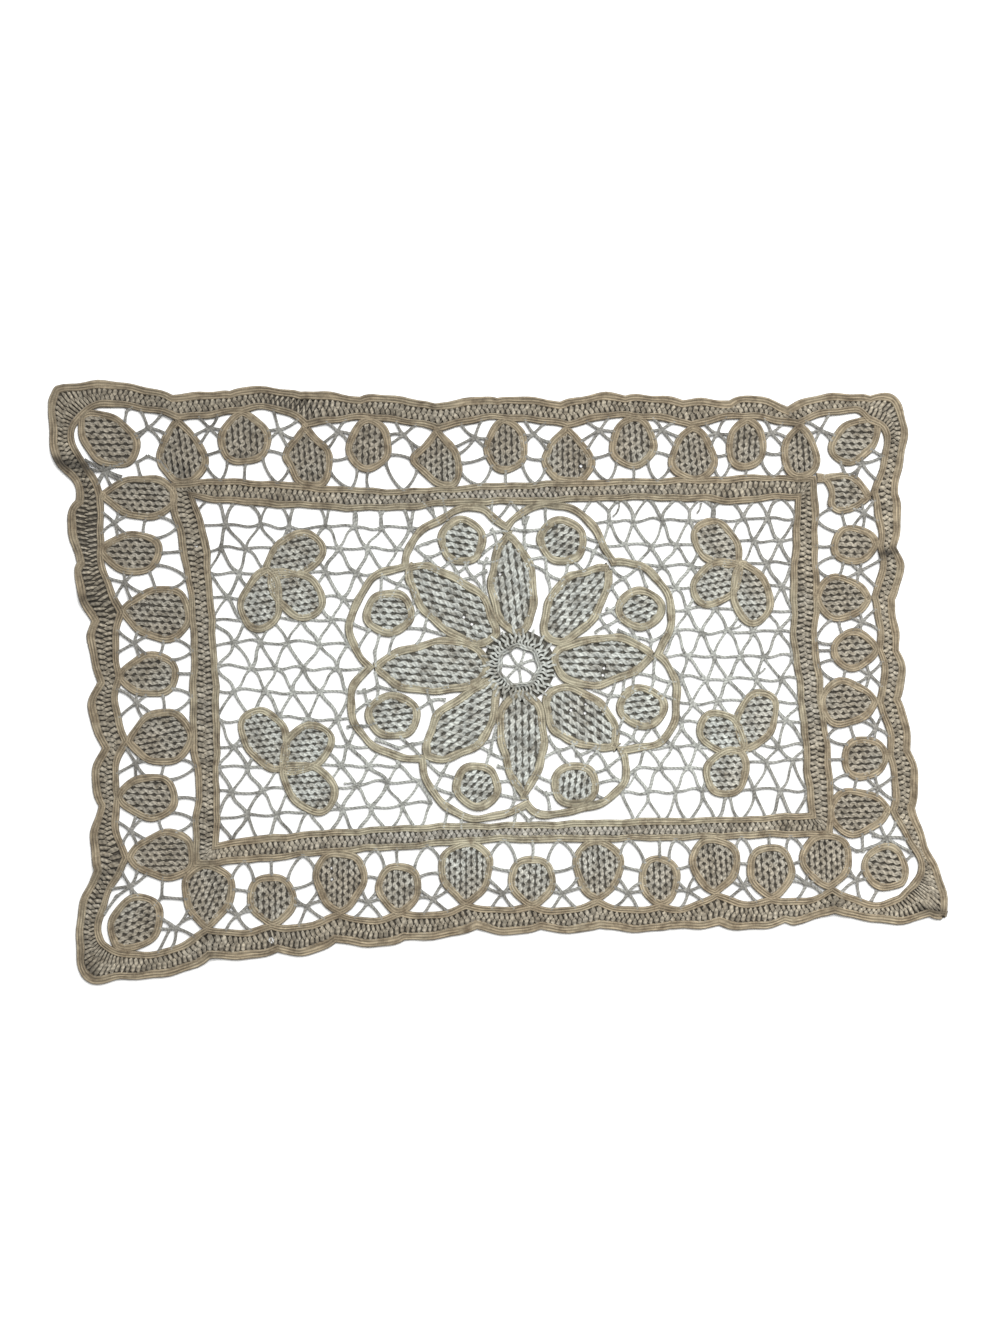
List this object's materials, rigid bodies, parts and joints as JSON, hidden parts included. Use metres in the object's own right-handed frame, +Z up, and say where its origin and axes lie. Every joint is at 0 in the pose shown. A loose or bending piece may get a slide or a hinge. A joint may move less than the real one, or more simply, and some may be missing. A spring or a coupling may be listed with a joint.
{
  "type": "tape lace doily",
  "caption": "Flat rectangular tape lace doily with a scalloped border, filled leaves and discs, a framed triangular net ground, leaf sprays and a petalled flower in the middle.",
  "frame": {"origin": "middle of the doily's bounding box, on the surface it lies on", "axes": "+X along the doily's longer side, +Y along its shorter side, +Z up out of the surface it lies on"},
  "size_m": [0.4498, 0.3014, 0.0016],
  "materials": {
    "stitched_tape": "matt woven linen tape, brown-beige, joined by grey stitches",
    "filled_motif": "grey needle stitches inside a beige tape edge",
    "ring_tape": "matt woven linen tape, straw-beige",
    "net_thread": "twisted grey linen thread"
  },
  "bodies": {
    "root": {"border_disc_01": "filled_motif", "border_disc_03": "filled_motif", "border_disc_05": "filled_motif", "border_disc_07": "filled_motif", "border_disc_09": "filled_motif", "border_disc_11": "filled_motif", "border_disc_13": "filled_motif", "border_disc_15": "filled_motif", "border_disc_17": "filled_motif", "border_disc_19": "filled_motif", "border_disc_21": "filled_motif", "border_disc_23": "filled_motif", "border_disc_25": "filled_motif", "border_disc_27": "filled_motif", "border_disc_29": "filled_motif", "border_disc_31": "filled_motif", "border_disc_33": "filled_motif", "border_disc_35": "filled_motif", "border_disc_37": "filled_motif", "border_disc_39": "filled_motif", "border_leaf_02": "filled_motif", "border_leaf_04": "filled_motif", "border_leaf_06": "filled_motif", "border_leaf_08": "filled_motif", "border_leaf_10": "filled_motif", "border_leaf_12": "filled_motif", "border_leaf_14": "filled_motif", "border_leaf_16": "filled_motif", "border_leaf_18": "filled_motif", "border_leaf_20": "filled_motif", "border_leaf_22": "filled_motif", "border_leaf_24": "filled_motif", "border_leaf_26": "filled_motif", "border_leaf_28": "filled_motif", "border_leaf_30": "filled_motif", "border_leaf_32": "filled_motif", "border_leaf_34": "filled_motif", "border_leaf_36": "filled_motif", "border_leaf_38": "filled_motif", "border_leaf_40": "filled_motif", "border_tape": "stitched_tape", "flower": "filled_motif", "flower_ring": "ring_tape", "frame_tape": "stitched_tape", "net_left": "net_thread", "net_right": "net_thread", "ring_disc_1": "filled_motif", "ring_disc_2": "filled_motif", "ring_disc_3": "filled_motif", "ring_disc_4": "filled_motif", "ring_disc_5": "filled_motif", "ring_disc_6": "filled_motif", "ring_disc_7": "filled_motif", "ring_disc_8": "filled_motif", "trefoil_bottom_left": "filled_motif", "trefoil_bottom_right": "filled_motif", "trefoil_top_left": "filled_motif", "trefoil_top_right": "filled_motif"}
  },
  "joints": []
}
